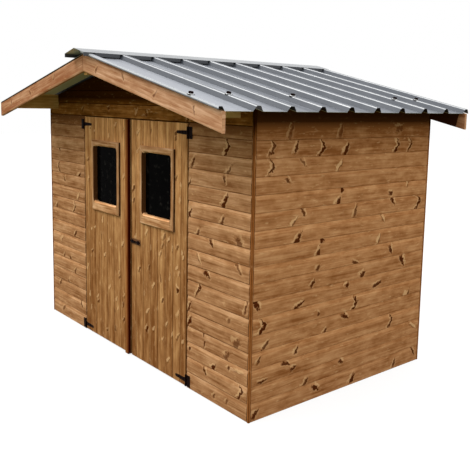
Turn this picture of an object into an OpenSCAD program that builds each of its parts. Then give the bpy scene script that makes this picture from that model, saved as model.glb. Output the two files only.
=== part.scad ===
// Timber garden shed with a gable front, a pair of glazed doors and a ribbed metal roof.
// +X runs to the right along the front wall, +Y from front to back, +Z up.
// The origin is on the ground, under the middle of the roof.

/* [Walls] */
// Outside width of the walls
wall_w = 2800; // [2400:10:3400]
// Outside depth of the walls
wall_d = 1700; // [1400:10:2400]
// Thickness of the boarding
board_t = 16; // [12:1:24]
// Width of the strip that closes each corner, seen from the front
corner_strip_w = 24; // [16:1:60]
// Width of the same strip, seen from the side
corner_strip_d = 24; // [16:1:40]
// Width of a post or rail, seen from inside
batten_w = 45; // [30:1:70]
// Depth of a post or rail behind the boarding
batten_d = 35; // [25:1:60]
// Height of the middle rail beside the doorway
mid_rail_z = 900; // [600:10:1200]

/* [Doors] */
// Width of the doorway
doorway_w = 1484; // [1200:2:1700]
// Height of the doorway
doorway_h = 1796; // [1500:2:2100]
// Gap at the hinge side and over the doors
door_gap = 6; // [5:0.5:10]
// Gap between the two leaves
meeting_gap = 10; // [8:1:16]
// Gap under the doors
foot_gap = 8; // [5:1:30]
// Width of a ledge across the back of a leaf
ledge_w = 95; // [60:1:120]
// Thickness of a ledge
ledge_t = 22; // [16:1:30]
// Distance from a leaf's edge to the ends of its ledges
ledge_inset = 25; // [15:1:40]
// Distance from a leaf's foot to its lowest ledge, and from its top to its highest
ledge_margin = 60; // [40:1:90]
// Distance from a window frame down to the middle ledge
mid_ledge_drop = 70; // [30:5:120]
// Width of the strip along the left leaf's meeting edge
meeting_strip_w = 45; // [30:1:60]
// Height of that strip above the boards
meeting_strip_t = 20; // [12:1:26]

/* [Windows] */
// Outside width of a window frame
window_w = 435; // [380:5:540]
// Outside height of a window frame
window_h = 562; // [460:2:620]
// Distance from a leaf's top down to the window frame
window_drop = 178; // [170:2:260]
// Width of the frame's upright members
window_stile = 38; // [30:1:70]
// Width of the frame's upper member
window_head = 45; // [30:1:70]
// Width of the frame's lower member
window_sill = 70; // [40:1:90]
// Height of the frame above the boards
window_proud = 16; // [12:1:26]
// Radius in the corners of the opening
window_corner_r = 28; // [6:1:40]
// Thickness of the pane
pane_t = 3; // [2:0.5:6]
// Width of the pane's edge behind the boards
pane_lap = 18; // [10:1:24]

/* [Hinges and bolt] */
// Height of a hinge plate
plate_h = 80; // [60:1:100]
// Width of a hinge plate beyond the knuckle
plate_w = 40; // [30:1:60]
// Length of a strap
strap_l = 120; // [90:1:130]
// Height of a strap at the knuckle
strap_h = 30; // [24:1:36]
// Height of a strap near its tip
strap_tip_h = 20; // [14:1:22]
// Thickness of the hinge metal
hinge_t = 2.5; // [2:0.1:4]
// Diameter of the knuckle
knuckle_d = 11; // [10:0.5:16]
// Diameter of the hinge pin
pin_d = 6; // [4:0.5:7]
// Clearance round the pin
pin_gap = 0.1; // [0.05:0.01:0.1]
// Clearance between the knuckles, and from a knuckle to the wall
knuckle_gap = 0.6; // [0.5:0.1:1]
// Distance from the ground to the middle of a lower hinge
low_hinge_z = 50; // [48:1:300]
// Distance from a leaf's top to the middle of its upper hinge
hinge_drop = 60; // [50:1:300]
// Length of the bolt's plate
bolt_l = 120; // [80:1:160]
// Height of the bolt's plate
bolt_h = 42; // [30:1:60]
// Diameter of the bolt's bar
bolt_bar_d = 12; // [8:1:16]
// Depth to which the bar beds into its plate
bolt_seat = 0.8; // [0.4:0.1:1.5]
// Height of the bolt's middle above the middle ledge's lower edge
bolt_rise = 9; // [0:1:90]
// Distance from the meeting edge to the bolt's plate
bolt_inset = 15; // [5:1:30]

/* [Roof] */
// Slope of the roof, in degrees
roof_pitch = 12.6; // [10:0.1:14]
// Height of the roof's underside over the doorway's top, at the outside of the walls
eave_rise = 127; // [110:1:300]
// Distance from the front wall to the face of the front bargeboards
front_overhang = 370; // [150:5:500]
// Distance from the back wall to the face of the rear bargeboards
rear_overhang = 190; // [100:5:500]
// Distance of the walls' sides from the ends of the bargeboards
side_overhang = 175; // [120:5:250]
// Depth of a bargeboard, square to its edges
barge_depth = 112; // [90:1:140]
// Thickness of a bargeboard
barge_t = 22; // [16:1:30]
// Distance from a wall's outside to the middle of its eaves purlin
purlin_inset = 150; // [120:5:300]
// Width of a purlin
purlin_w = 45; // [35:1:70]
// Depth of the ridge purlin
ridge_purlin_depth = 140; // [100:5:180]
// Distance from the bargeboard's end back to the lower edge of the sheets
eave_setback = 5; // [0:1:40]
// Distance from the ridge to the upper edge of the sheets
ridge_setback = 8; // [2:1:12]
// Thickness of the roof sheets
sheet_t = 1.2; // [0.8:0.1:2]
// Number of spaces between ribs along the roof
rib_spaces = 9; // [6:1:14]
// Rib that the two sheets of a slope share, counted from the front
lap_rib = 4; // [1:1:5]
// Distance in front of the front bargeboards at which the row of ribs starts
rib_lead = 2; // [-11:1:20]
// Distance of the last rib's middle inside the face of the rear bargeboards
rib_tail = 12; // [0:1:22]
// Height of a rib
rib_h = 31; // [20:1:45]
// Width of a rib at its foot
rib_base = 72; // [60:1:90]
// Width of a rib at its crest
rib_top = 28; // [16:1:40]
// Height of the low rib along the front edge of the right sheets
edge_rib_h = 25; // [15:1:31]
// Width of the low edge rib at its foot
edge_rib_base = 42; // [34:1:60]
// Width of the low edge rib at its crest
edge_rib_top = 22; // [10:1:28]
// Depth of the lip that hangs from the crest of the edge rib
edge_lip = 16; // [5:1:20]
// Distance of that lip in front of the front bargeboards
edge_lead = 22; // [5:1:40]
// Distance that the flat edges of the left sheets reach past the bargeboards
flat_reach = 3; // [0:1:20]
// Clearance between the sheets where one laps the other
lap_gap = 0.2; // [0.1:0.1:1]
// Width of each side of the ridge cap, measured level
cap_w = 142; // [100:1:180]
// Slope of the ridge cap beyond that of the roof, in degrees
cap_tilt = 0.4; // [0.2:0.2:6]
// Height of the foot of the cap's lips over the sheets
cap_lip_clear = 9; // [4:1:14]
// Clearance between the cap's lips and the ribs
cap_lip_gap = 3; // [2:1:10]
// Distance that the ridge cap reaches past the front bargeboards
cap_front = 64; // [30:1:100]
// Distance that the ridge cap reaches past the rear bargeboards
cap_rear = 30; // [30:1:100]

/* [Hidden] */
$fn = 48;
wood_wall = "#A87C50";
wood_door = "#A07845";
wood_trim = "#B98A5E";
wood_frame = "#C39A68";
zinc = "#9A9FA6";
black = "#1B1B1C";

// Overall placing along Y: the ridge cap is the longest piece, centred on the origin
cap_l = cap_front + front_overhang + wall_d + rear_overhang + cap_rear;
barge_front_y = -cap_l / 2 + cap_front;
front_y = barge_front_y + front_overhang;
back_y = front_y + wall_d;
barge_back_y = back_y + rear_overhang;

// Walls
half_w = wall_w / 2;
half_doorway = doorway_w / 2;
face_w = half_w - corner_strip_w;
frame_front_y = front_y + board_t;
frame_back_y = back_y - board_t;
room_front_y = frame_front_y + batten_d;
room_back_y = frame_back_y - batten_d;
frame_half_w = half_w - board_t;
post_h = doorway_h;

// Doors
leaf_x0 = meeting_gap / 2;
leaf_x1 = half_doorway - door_gap;
leaf_z1 = doorway_h - door_gap;
ledge_back_y = frame_front_y + ledge_t;
window_x = (leaf_x0 + leaf_x1) / 2;
window_foot = leaf_z1 - window_drop - window_h;
window_z = window_foot + window_h / 2;
mid_ledge_z = window_foot - mid_ledge_drop - ledge_w;
bolt_z = mid_ledge_z + bolt_rise;
opening_w = window_w - 2 * window_stile;
opening_h = window_h - window_head - window_sill;
opening_z = window_foot + window_sill + opening_h / 2;
hinge_x = half_doorway - door_gap / 2;
hinge_y = front_y - knuckle_d / 2 - knuckle_gap;
top_hinge_z = leaf_z1 - hinge_drop;

// Roof, with the eaves purlins resting on the header and the back rail
ridge_h = doorway_h + eave_rise + half_w * tan(roof_pitch);
purlin_foot = post_h + batten_w;
barge_run = half_w + side_overhang;
eave_run = barge_run - eave_setback;
purlin_x = half_w - purlin_inset;
purlin_y0 = barge_front_y + barge_t;
purlin_y1 = barge_back_y - barge_t;
rib_y0 = barge_front_y - rib_lead;
rib_y1 = barge_back_y - rib_tail;
rib_pitch = (rib_y1 - rib_y0) / rib_spaces;
sheet_l = eave_run / cos(roof_pitch) - ridge_setback;
edge_y = barge_front_y - edge_lead;
left_shift = rib_pitch / 2;
cap_pitch = roof_pitch + cap_tilt;
lap_lift = sheet_t + lap_gap;
roof_gap = 1;

// Height of the roof's underside at a distance x from the ridge
function roof_z(x) = ridge_h - abs(x) * tan(roof_pitch);
// Place along Y of a rib's middle
function rib_y(i) = rib_y0 + i * rib_pitch;
// Four corners of a rib, with its front foot raised by lift_a and the rest of it by lift_b
function rib(c, lift_a, lift_b) = [
    [c - rib_base / 2, lift_a], [c - rib_top / 2, rib_h + lift_b],
    [c + rib_top / 2, rib_h + lift_b], [c + rib_base / 2, 0]
];
// Corners of whole ribs from one number to another
function ribs(first, last, shift) = [for (i = [first : last], p = rib(rib_y(i) + shift, 0, 0)) p];
// Front half of a rib, up to the far edge of its crest
function half_rib(c) = [[c - rib_base / 2, 0], [c - rib_top / 2, rib_h], [c + rib_top / 2, rib_h]];
// Crest and rear foot of the low edge rib
function edge_rib() = [[edge_y + edge_rib_top, edge_rib_h], [edge_y + edge_rib_base, 0]];
function raised(line) = [for (p = line) p + [0, sheet_t]];
function reversed(list) = [for (i = [len(list) - 1 : -1 : 0]) list[i]];

// Block between two corners
module block(low, high) {
    translate(low) cube(high - low);
}

// Flat outline in X and Z, given a thickness along Y from y0 to y1
module upright(y0, y1) {
    translate([0, y1, 0]) rotate([90, 0, 0]) linear_extrude(y1 - y0) children();
}

module flip_x() {
    mirror([1, 0, 0]) children();
}

// Boarding of the walls

module gable_outline(z0, half) {
    polygon([
        [-half, z0], [half, z0], [half, roof_z(half) - roof_gap],
        [0, ridge_h - roof_gap], [-half, roof_z(half) - roof_gap]
    ]);
}

module gable_boarding(z0, y0, y1) {
    difference() {
        upright(y0, y1) gable_outline(z0, face_w);
        purlin_prism(purlin_x);
        flip_x() purlin_prism(purlin_x);
        ridge_purlin_prism();
    }
}

module front_boarding_right() {
    block([half_doorway, front_y, 0], [face_w, frame_front_y, doorway_h]);
}

module front_wall_right() {
    color(wood_wall) front_boarding_right();
}

module front_wall_left() {
    color(wood_wall) flip_x() front_boarding_right();
}

module front_gable() {
    color(wood_wall) gable_boarding(doorway_h, front_y, frame_front_y);
}

module back_wall() {
    color(wood_wall) gable_boarding(0, frame_back_y, back_y);
}

module side_boarding() {
    block([frame_half_w, front_y + corner_strip_d, 0],
          [half_w, back_y - corner_strip_d, roof_z(half_w) - roof_gap]);
}

module right_wall() {
    color(wood_wall) side_boarding();
}

module left_wall() {
    color(wood_wall) flip_x() side_boarding();
}

module corner_strip_pair(y0, y1) {
    for (side = [0, 1])
        mirror([side, 0, 0])
            block([face_w, y0, 0], [half_w, y1, roof_z(half_w) - roof_gap]);
}

module front_corner_strips() {
    color(wood_trim) corner_strip_pair(front_y, front_y + corner_strip_d);
}

module back_corner_strips() {
    color(wood_trim) corner_strip_pair(back_y - corner_strip_d, back_y);
}

// Frame behind the boarding: posts stand on the ground, rails run between or over them

module front_posts() {
    color(wood_frame)
        for (side = [0, 1], x = [half_doorway, face_w - batten_w])
            mirror([side, 0, 0])
                block([x, frame_front_y, 0], [x + batten_w, room_front_y, post_h]);
}

module front_rails() {
    color(wood_frame)
        for (side = [0, 1], z = [0, mid_rail_z])
            mirror([side, 0, 0])
                block([half_doorway + batten_w, frame_front_y, z],
                      [face_w - batten_w, room_front_y, z + batten_w]);
}

module door_header() {
    color(wood_frame)
        block([-face_w, frame_front_y, post_h], [face_w, room_front_y, post_h + batten_w]);
}

back_bays = 4;
back_step = (2 * face_w - batten_w) / back_bays;

module back_posts() {
    color(wood_frame)
        for (i = [0 : back_bays])
            translate([-face_w + i * back_step, room_back_y, 0]) cube([batten_w, batten_d, post_h]);
}

module back_rails() {
    color(wood_frame) {
        block([-face_w, room_back_y, post_h], [face_w, frame_back_y, post_h + batten_w]);
        for (i = [0 : back_bays - 1])
            translate([-face_w + i * back_step + batten_w, room_back_y, 0])
                cube([back_step - batten_w, batten_d, batten_w]);
    }
}

side_bays = 3;
side_step = (room_back_y - room_front_y - batten_w) / side_bays;

module side_posts() {
    for (i = [0 : side_bays])
        translate([frame_half_w - batten_d, room_front_y + i * side_step, 0])
            cube([batten_d, batten_w, post_h]);
}

module side_rails() {
    block([frame_half_w - batten_d, room_front_y, post_h], [frame_half_w, room_back_y, post_h + batten_w]);
    for (i = [0 : side_bays - 1])
        translate([frame_half_w - batten_d, room_front_y + i * side_step + batten_w, 0])
            cube([batten_d, side_step - batten_w, batten_w]);
}

module right_posts() {
    color(wood_frame) side_posts();
}

module left_posts() {
    color(wood_frame) flip_x() side_posts();
}

module right_rails() {
    color(wood_frame) side_rails();
}

module left_rails() {
    color(wood_frame) flip_x() side_rails();
}

// Doors, drawn as the right leaf

module rounded_opening() {
    w = opening_w / 2 - window_corner_r;
    h = opening_h / 2 - window_corner_r;
    square([opening_w, 2 * h], center = true);
    square([2 * w, opening_h], center = true);
    for (x = [-w, w], z = [-h, h])
        translate([x, z]) circle(window_corner_r);
}

module leaf_boards() {
    upright(front_y, frame_front_y)
        difference() {
            translate([leaf_x0, foot_gap]) square([leaf_x1 - leaf_x0, leaf_z1 - foot_gap]);
            translate([window_x, opening_z]) rounded_opening();
        }
}

module leaf_ledges() {
    x0 = leaf_x0 + ledge_inset;
    x1 = leaf_x1 - ledge_inset;
    low_z = foot_gap + ledge_margin;
    top_z = leaf_z1 - ledge_margin - ledge_w;
    upright(frame_front_y, ledge_back_y) {
        for (z = [low_z, mid_ledge_z, top_z])
            translate([x0, z]) square([x1 - x0, ledge_w]);
        polygon([
            [x1 - ledge_w, low_z + ledge_w], [x1, low_z + ledge_w],
            [x0 + ledge_w, mid_ledge_z], [x0, mid_ledge_z]
        ]);
    }
}

module leaf_window_frame() {
    upright(front_y - window_proud, front_y)
        difference() {
            translate([window_x, window_z]) square([window_w, window_h], center = true);
            translate([window_x, opening_z]) rounded_opening();
        }
}

module leaf_pane() {
    upright(frame_front_y, frame_front_y + pane_t)
        translate([window_x, opening_z])
            square([opening_w + 2 * pane_lap, opening_h + 2 * pane_lap], center = true);
}

// Strap of a T hinge, with its bored knuckle on the hinge axis
module strap(z) {
    tip_x = hinge_x - strap_l;
    translate([0, 0, z])
        difference() {
            union() {
                upright(front_y - hinge_t, front_y) {
                    polygon([
                        [hinge_x, -strap_h / 2], [hinge_x, strap_h / 2],
                        [tip_x, strap_tip_h / 2], [tip_x, -strap_tip_h / 2]
                    ]);
                    translate([tip_x, 0]) circle(d = strap_tip_h);
                }
                translate([hinge_x, hinge_y, -strap_h / 2]) cylinder(d = knuckle_d, h = strap_h);
            }
            translate([hinge_x, hinge_y, -strap_h]) cylinder(d = pin_d + 2 * pin_gap, h = 2 * strap_h);
        }
}

// Wall plate of a T hinge, with the outer knuckles and the pin
module plate(z) {
    plate_x = hinge_x + knuckle_d / 2 + knuckle_gap;
    knuckle_l = (plate_h - strap_h) / 2 - knuckle_gap;
    translate([0, 0, z]) {
        block([plate_x, front_y - hinge_t, -plate_h / 2], [plate_x + plate_w, front_y, plate_h / 2]);
        for (foot = [-plate_h / 2, plate_h / 2 - knuckle_l]) {
            block([hinge_x, front_y - hinge_t, foot], [plate_x, front_y, foot + knuckle_l]);
            translate([hinge_x, hinge_y, foot]) cylinder(d = knuckle_d, h = knuckle_l);
        }
        translate([hinge_x, hinge_y, -plate_h / 2]) cylinder(d = pin_d, h = plate_h);
    }
}

module strap_pair() {
    strap(low_hinge_z);
    strap(top_hinge_z);
}

module plate_pair() {
    plate(low_hinge_z);
    plate(top_hinge_z);
}

module right_door_boards() {
    color(wood_door) leaf_boards();
}

module left_door_boards() {
    color(wood_door) flip_x() leaf_boards();
}

module right_door_ledges() {
    color(wood_frame) leaf_ledges();
}

module left_door_ledges() {
    color(wood_frame) flip_x() leaf_ledges();
}

module right_window_frame() {
    color(wood_door) leaf_window_frame();
}

module left_window_frame() {
    color(wood_door) flip_x() leaf_window_frame();
}

module right_window_pane() {
    color(black, 0.6) leaf_pane();
}

module left_window_pane() {
    color(black, 0.6) flip_x() leaf_pane();
}

module right_hinge_straps() {
    color(black) strap_pair();
}

module left_hinge_straps() {
    color(black) flip_x() strap_pair();
}

module right_hinge_plates() {
    color(black) plate_pair();
}

module left_hinge_plates() {
    color(black) flip_x() plate_pair();
}

module meeting_strip() {
    color(wood_door)
        block([-leaf_x0 - meeting_strip_w, front_y - meeting_strip_t, foot_gap],
              [-leaf_x0, front_y, leaf_z1]);
}

// Slide bolt, drawn back: a plate, two staples, the bar and its thumb piece
module door_bolt() {
    x0 = leaf_x0 + bolt_inset;
    bar_y = front_y - hinge_t - bolt_bar_d / 2 + bolt_seat;
    staple_w = bolt_bar_d;
    staple_h = bolt_bar_d * 2;
    knob_l = bolt_bar_d * 1.5;
    color(black) {
        block([x0, front_y - hinge_t, bolt_z - bolt_h / 2], [x0 + bolt_l, front_y, bolt_z + bolt_h / 2]);
        translate([x0, bar_y, bolt_z]) rotate([0, 90, 0]) cylinder(d = bolt_bar_d, h = bolt_l);
        for (x = [x0 + staple_w, x0 + bolt_l - 2 * staple_w])
            block([x, bar_y - bolt_bar_d / 2 - hinge_t, bolt_z - staple_h / 2],
                  [x + staple_w, front_y - hinge_t, bolt_z + staple_h / 2]);
        translate([x0 + bolt_l / 2, bar_y, bolt_z]) rotate([90, 0, 0]) cylinder(d = bolt_bar_d, h = knob_l);
    }
}

// Roof timbers

module purlin_prism(x) {
    x0 = x - purlin_w / 2;
    x1 = x + purlin_w / 2;
    upright(purlin_y0, purlin_y1)
        polygon([[x0, purlin_foot], [x1, purlin_foot], [x1, roof_z(x1)], [x0, roof_z(x0)]]);
}

module ridge_purlin_prism() {
    half = purlin_w / 2;
    foot = ridge_h - ridge_purlin_depth;
    upright(purlin_y0, purlin_y1)
        polygon([[-half, foot], [half, foot], [half, roof_z(half)], [0, ridge_h], [-half, roof_z(half)]]);
}

module right_purlin() {
    color(wood_frame) purlin_prism(purlin_x);
}

module left_purlin() {
    color(wood_frame) flip_x() purlin_prism(purlin_x);
}

module ridge_purlin() {
    color(wood_frame) ridge_purlin_prism();
}

module bargeboard(y0) {
    drop = barge_depth / cos(roof_pitch);
    upright(y0, y0 + barge_t)
        polygon([
            [0, ridge_h], [0, ridge_h - drop],
            [barge_run, roof_z(barge_run) - drop], [barge_run, roof_z(barge_run)]
        ]);
}

module front_right_bargeboard() {
    color(wood_trim) bargeboard(barge_front_y);
}

module front_left_bargeboard() {
    color(wood_trim) flip_x() bargeboard(barge_front_y);
}

module rear_right_bargeboard() {
    color(wood_trim) bargeboard(purlin_y1);
}

module rear_left_bargeboard() {
    color(wood_trim) flip_x() bargeboard(purlin_y1);
}

// Roof sheets: the space between a ribbed line and the same line raised, run down the slope

module sheet(under, over) {
    translate([0, 0, ridge_h])
        rotate([0, roof_pitch, 0])
            translate([ridge_setback, 0, 0])
                rotate([90, 0, 90]) linear_extrude(sheet_l) polygon(concat(under, reversed(over)));
}

// The right front sheet starts with a lip and a low rib, and ends on the crest of the shared rib
module right_front_sheet() {
    foot = edge_rib_h - edge_lip;
    rest = concat(edge_rib(), ribs(1, lap_rib - 1, 0), half_rib(rib_y(lap_rib)));
    lip_under = [[edge_y, foot], [edge_y, edge_rib_h]];
    lip_over = [[edge_y - sheet_t, foot], [edge_y - sheet_t, edge_rib_h + sheet_t]];
    color(zinc) sheet(concat(lip_under, rest), concat(lip_over, raised(rest)));
}

// A rear sheet's first rib lies over the front sheet's last
module right_rear_sheet() {
    line = concat(rib(rib_y(lap_rib), lap_lift, lap_lift), ribs(lap_rib + 1, rib_spaces, 0));
    color(zinc) sheet(line, raised(line));
}

// The left sheets have their ribs half a space further back, with a flat edge at each end
module left_front_sheet() {
    edge = [[barge_front_y - flat_reach, 0]];
    line = concat(edge, ribs(0, lap_rib - 1, left_shift), half_rib(rib_y(lap_rib) + left_shift));
    color(zinc) flip_x() sheet(line, raised(line));
}

module left_rear_sheet() {
    edge = [[barge_back_y + flat_reach, 0]];
    lapped = rib(rib_y(lap_rib) + left_shift, lap_lift, lap_lift);
    line = concat(lapped, ribs(lap_rib + 1, rib_spaces - 1, left_shift), edge);
    color(zinc) flip_x() sheet(line, raised(line));
}

// Folded cap over the ridge, with lips along its edges that are cut out round the ribs

module cap_fold(edge_z) {
    apex_z = edge_z + cap_w * tan(cap_pitch);
    rise = sheet_t / cos(cap_pitch);
    upright(-cap_l / 2, cap_l / 2)
        polygon([
            [-cap_w, edge_z], [0, apex_z], [cap_w, edge_z],
            [cap_w, edge_z + rise], [0, apex_z + rise], [-cap_w, edge_z + rise]
        ]);
}

// Lips between neighbouring pairs of rib feet, given in order from front to back
module cap_lips(feet, edge_z) {
    foot_z = roof_z(cap_w) + (sheet_t + cap_lip_clear) / cos(roof_pitch);
    top_z = edge_z + sheet_t / 2;
    for (i = [0 : 2 : len(feet) - 2])
        block([cap_w - sheet_t, feet[i] + cap_lip_gap, foot_z], [cap_w, feet[i + 1] - cap_lip_gap, top_z]);
}

// Front and rear foot of each whole rib from one number to another
function rib_feet(first, last, shift) = [
    for (i = [first : last], side = [-1, 1]) rib_y(i) + shift + side * rib_base / 2
];

module ridge_cap() {
    edge_z = roof_z(cap_w) + (rib_h + sheet_t + lap_lift) / cos(roof_pitch);
    front = [-cap_l / 2 - cap_lip_gap];
    back = [cap_l / 2 + cap_lip_gap];
    edge_feet = [edge_y - sheet_t, edge_y + edge_rib_base];
    color(zinc) {
        cap_fold(edge_z);
        cap_lips(concat(front, edge_feet, rib_feet(1, rib_spaces, 0), back), edge_z);
        flip_x() cap_lips(concat(front, rib_feet(0, rib_spaces - 1, left_shift), back), edge_z);
    }
}

front_wall_left();
front_wall_right();
front_gable();
back_wall();
left_wall();
right_wall();
front_corner_strips();
back_corner_strips();
front_posts();
back_posts();
left_posts();
right_posts();
front_rails();
back_rails();
left_rails();
right_rails();
door_header();
left_door_boards();
left_door_ledges();
left_window_frame();
left_window_pane();
left_hinge_straps();
meeting_strip();
right_door_boards();
right_door_ledges();
right_window_frame();
right_window_pane();
right_hinge_straps();
door_bolt();
left_hinge_plates();
right_hinge_plates();
ridge_purlin();
left_purlin();
right_purlin();
left_front_sheet();
left_rear_sheet();
right_front_sheet();
right_rear_sheet();
ridge_cap();
front_left_bargeboard();
front_right_bargeboard();
rear_left_bargeboard();
rear_right_bargeboard();
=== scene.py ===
import math
import random
from typing import NamedTuple

import bmesh
import bpy
from mathutils import Matrix, Vector


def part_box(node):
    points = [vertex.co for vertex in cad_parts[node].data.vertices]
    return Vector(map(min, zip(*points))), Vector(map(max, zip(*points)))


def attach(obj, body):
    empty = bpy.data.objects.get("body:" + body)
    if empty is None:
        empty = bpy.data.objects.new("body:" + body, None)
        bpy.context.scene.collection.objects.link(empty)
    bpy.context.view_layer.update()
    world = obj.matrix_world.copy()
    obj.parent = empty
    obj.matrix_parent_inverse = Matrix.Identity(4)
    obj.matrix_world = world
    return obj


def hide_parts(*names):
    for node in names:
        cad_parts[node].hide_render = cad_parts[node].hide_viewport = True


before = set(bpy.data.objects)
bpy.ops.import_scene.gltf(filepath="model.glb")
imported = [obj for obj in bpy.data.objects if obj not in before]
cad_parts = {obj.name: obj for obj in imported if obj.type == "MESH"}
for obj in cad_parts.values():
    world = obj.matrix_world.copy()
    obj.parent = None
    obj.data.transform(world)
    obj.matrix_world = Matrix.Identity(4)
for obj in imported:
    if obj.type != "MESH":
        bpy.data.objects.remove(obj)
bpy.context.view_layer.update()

RNG = random.Random(41)
X, Y, Z = Vector((1, 0, 0)), Vector((0, 1, 0)), Vector((0, 0, 1))
MATS = {}

# Sizes, in metres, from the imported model
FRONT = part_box("front_wall_right")
LEFT_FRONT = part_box("front_wall_left")
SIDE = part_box("right_wall")
LEFT_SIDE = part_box("left_wall")
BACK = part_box("back_wall")
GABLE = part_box("front_gable")
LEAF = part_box("right_door_boards")
LEFT_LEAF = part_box("left_door_boards")
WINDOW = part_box("right_window_frame")
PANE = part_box("right_window_pane")
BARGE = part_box("front_right_bargeboard")
REAR_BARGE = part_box("rear_right_bargeboard")
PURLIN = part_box("right_purlin")
RIDGE_Z = BARGE[1].z
CORNER_X, CORNER_Y = SIDE[1].x, (FRONT[0].y, BACK[1].y)

# Sizes that a box doesn't tell, the same as in part.scad
PITCH = math.radians(12.6)
SLOPE, COS, SIN = math.tan(PITCH), math.cos(PITCH), math.sin(PITCH)
BOARD_T = 0.016
RIB_FIRST, RIB_STEP, RIB_H = -1.115, 0.25, 0.0322
EDGE_RIB_Y, EDGE_RIB_H = -1.124, 0.0262
WINDOW_STILE, WINDOW_HEAD, WINDOW_SILL, WINDOW_R = 0.038, 0.045, 0.070, 0.028
HINGE_X, HINGE_ZS = 0.739, (0.05, 1.73)

# Camera, fitted to the photograph's corners
CAM_POS = Vector((4.3122, -3.2224, 1.9344))
# Yaw, pitch and roll
CAM_TURN = [math.radians(a) for a in (49.436, 7.664, -1.277)]
CAM_F, CAM_CENTRE, IMAGE, SENSOR = 666.9, (255.0, 192.0), 470.0, 36.0


def colour(code):
    """Linear colour from a six-digit code."""
    parts = [int(code[i:i + 2], 16) / 255 for i in (1, 3, 5)]
    return tuple(p / 12.92 if p <= 0.04045 else ((p + 0.055) / 1.055) ** 2.4 for p in parts) + (1.0,)


def palette(codes):
    return [colour(code) for code in codes.split()]


def new_object(name, data):
    obj = bpy.data.objects.new(name, data)
    bpy.context.scene.collection.objects.link(obj)
    return obj


# Camera, light and floor

def make_camera():
    (cy, sy), (cp, sp), (cr, sr) = ((math.cos(a), math.sin(a)) for a in CAM_TURN)
    forward = Vector((-sy * cp, cy * cp, -sp))
    right = Vector((cy, sy, 0.0))
    down = forward.cross(right)
    right, down = cr * right + sr * down, -sr * right + cr * down
    data = bpy.data.cameras.new("camera")
    data.sensor_width = SENSOR
    data.lens = CAM_F / IMAGE * SENSOR
    data.shift_x = -(CAM_CENTRE[0] - IMAGE / 2) / IMAGE
    data.shift_y = (CAM_CENTRE[1] - IMAGE / 2) / IMAGE
    cam = new_object("camera", data)
    turn = Matrix((right, -down, -forward)).transposed().to_4x4()
    cam.matrix_world = Matrix.Translation(CAM_POS) @ turn
    bpy.context.scene.camera = cam


class Value:
    """A node's output; sums with it make further nodes."""

    def __init__(self, nodes, socket):
        self.nodes, self.socket = nodes, socket

    def __add__(self, other):
        return self.nodes.math("ADD", self, other)

    def __sub__(self, other):
        return self.nodes.math("SUBTRACT", self, other)

    def __rsub__(self, other):
        return self.nodes.math("SUBTRACT", other, self)

    def __mul__(self, other):
        return self.nodes.math("MULTIPLY", self, other)

    def __abs__(self):
        return self.nodes.math("ABSOLUTE", self)


class Nodes:
    """Short calls for building a node tree."""

    def __init__(self, tree):
        self.tree = tree
        tree.nodes.clear()

    def put(self, value, socket):
        if isinstance(value, Value):
            self.tree.links.new(value.socket, socket)
        else:
            socket.default_value = value

    def add(self, kind, *values, out=0, named=None, **settings):
        """A node with its settings, first inputs and named inputs; gives one of its outputs."""
        node = self.tree.nodes.new("ShaderNode" + kind)
        for name, value in settings.items():
            setattr(node, name, value)
        for key, value in [*enumerate(values), *(named or {}).items()]:
            self.put(value, node.inputs[key])
        return Value(self, node.outputs[out])

    def end(self, kind, value):
        self.put(value, self.tree.nodes.new("ShaderNode" + kind).inputs["Surface"])

    def math(self, op, a, b=0.0):
        return self.add("Math", a, b, operation=op)

    def mix(self, fac, a, b, blend="MIX"):
        return self.add("Mix", out=2, named={0: fac, 6: a, 7: b}, data_type="RGBA", blend_type=blend)

    def split(self, vector):
        node = self.add("SeparateXYZ", vector).socket.node
        return [Value(self, socket) for socket in node.outputs]

    def place(self, kind="Object"):
        return self.add("TexCoord", out=kind)

    def facing(self):
        return self.split(self.add("NewGeometry", out="True Normal"))

    def noise(self, vector, scale=1.0, detail=2.0, rough=0.5):
        values = {"Vector": vector, "Scale": scale, "Detail": detail, "Roughness": rough}
        return self.add("TexNoise", out="Fac", named=values)

    def streaks(self, along, across, long_scale, cross_scale, detail=2.0, rough=0.5):
        """Noise drawn out along the grain."""
        place = self.add("CombineXYZ", along * long_scale, across * cross_scale)
        return self.noise(place, 1.0, detail, rough)

    def range(self, value, lo, hi, to_lo=0.0, to_hi=1.0):
        return self.add("MapRange", value, lo, hi, to_lo, to_hi, clamp=True)

    def attribute(self, name):
        return self.add("Attribute", out="Fac", attribute_name=name)

    def uv(self, name):
        return self.split(self.add("UVMap", uv_map=name))[:2]

    def bump(self, height, strength, distance):
        return self.add("Bump", named={"Height": height, "Strength": strength, "Distance": distance})

    def show(self, kind, seen, unseen):
        """Ends the tree: seen for rays that show the background, unseen for those that only carry light."""
        rays = [self.add("LightPath", out=f"Is {ray} Ray") for ray in ("Camera", "Glossy", "Transmission")]
        shown = self.math("MAXIMUM", self.math("MAXIMUM", rays[0], rays[1]), rays[2])
        self.end(kind, self.add("MixShader", shown, unseen, seen))


WHITE = (1, 1, 1, 1)
SKY_TOP, SKY_LOW = (1.00, 0.99, 0.97, 1), (0.27, 0.27, 0.265, 1)
SKY_FADE, SKY_LEVEL = (0.0, 0.9), 2.15
KEY_LEVEL, KEY_SIZE, KEY_COLOUR = 1.5, math.radians(24), (1.0, 0.96, 0.9)
KEY_FROM = Vector((-0.75, -0.95, 1.35))
FLOOR_HALF, FLOOR_Z, FLOOR_GLOW, FLOOR_PALE = 30.0, -0.001, 0.82, (0.18, 0.18, 0.18, 1)
# The tint of the light that the floor throws back on the shed
GRASS = (0.105, 0.115, 0.055, 1)


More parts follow.
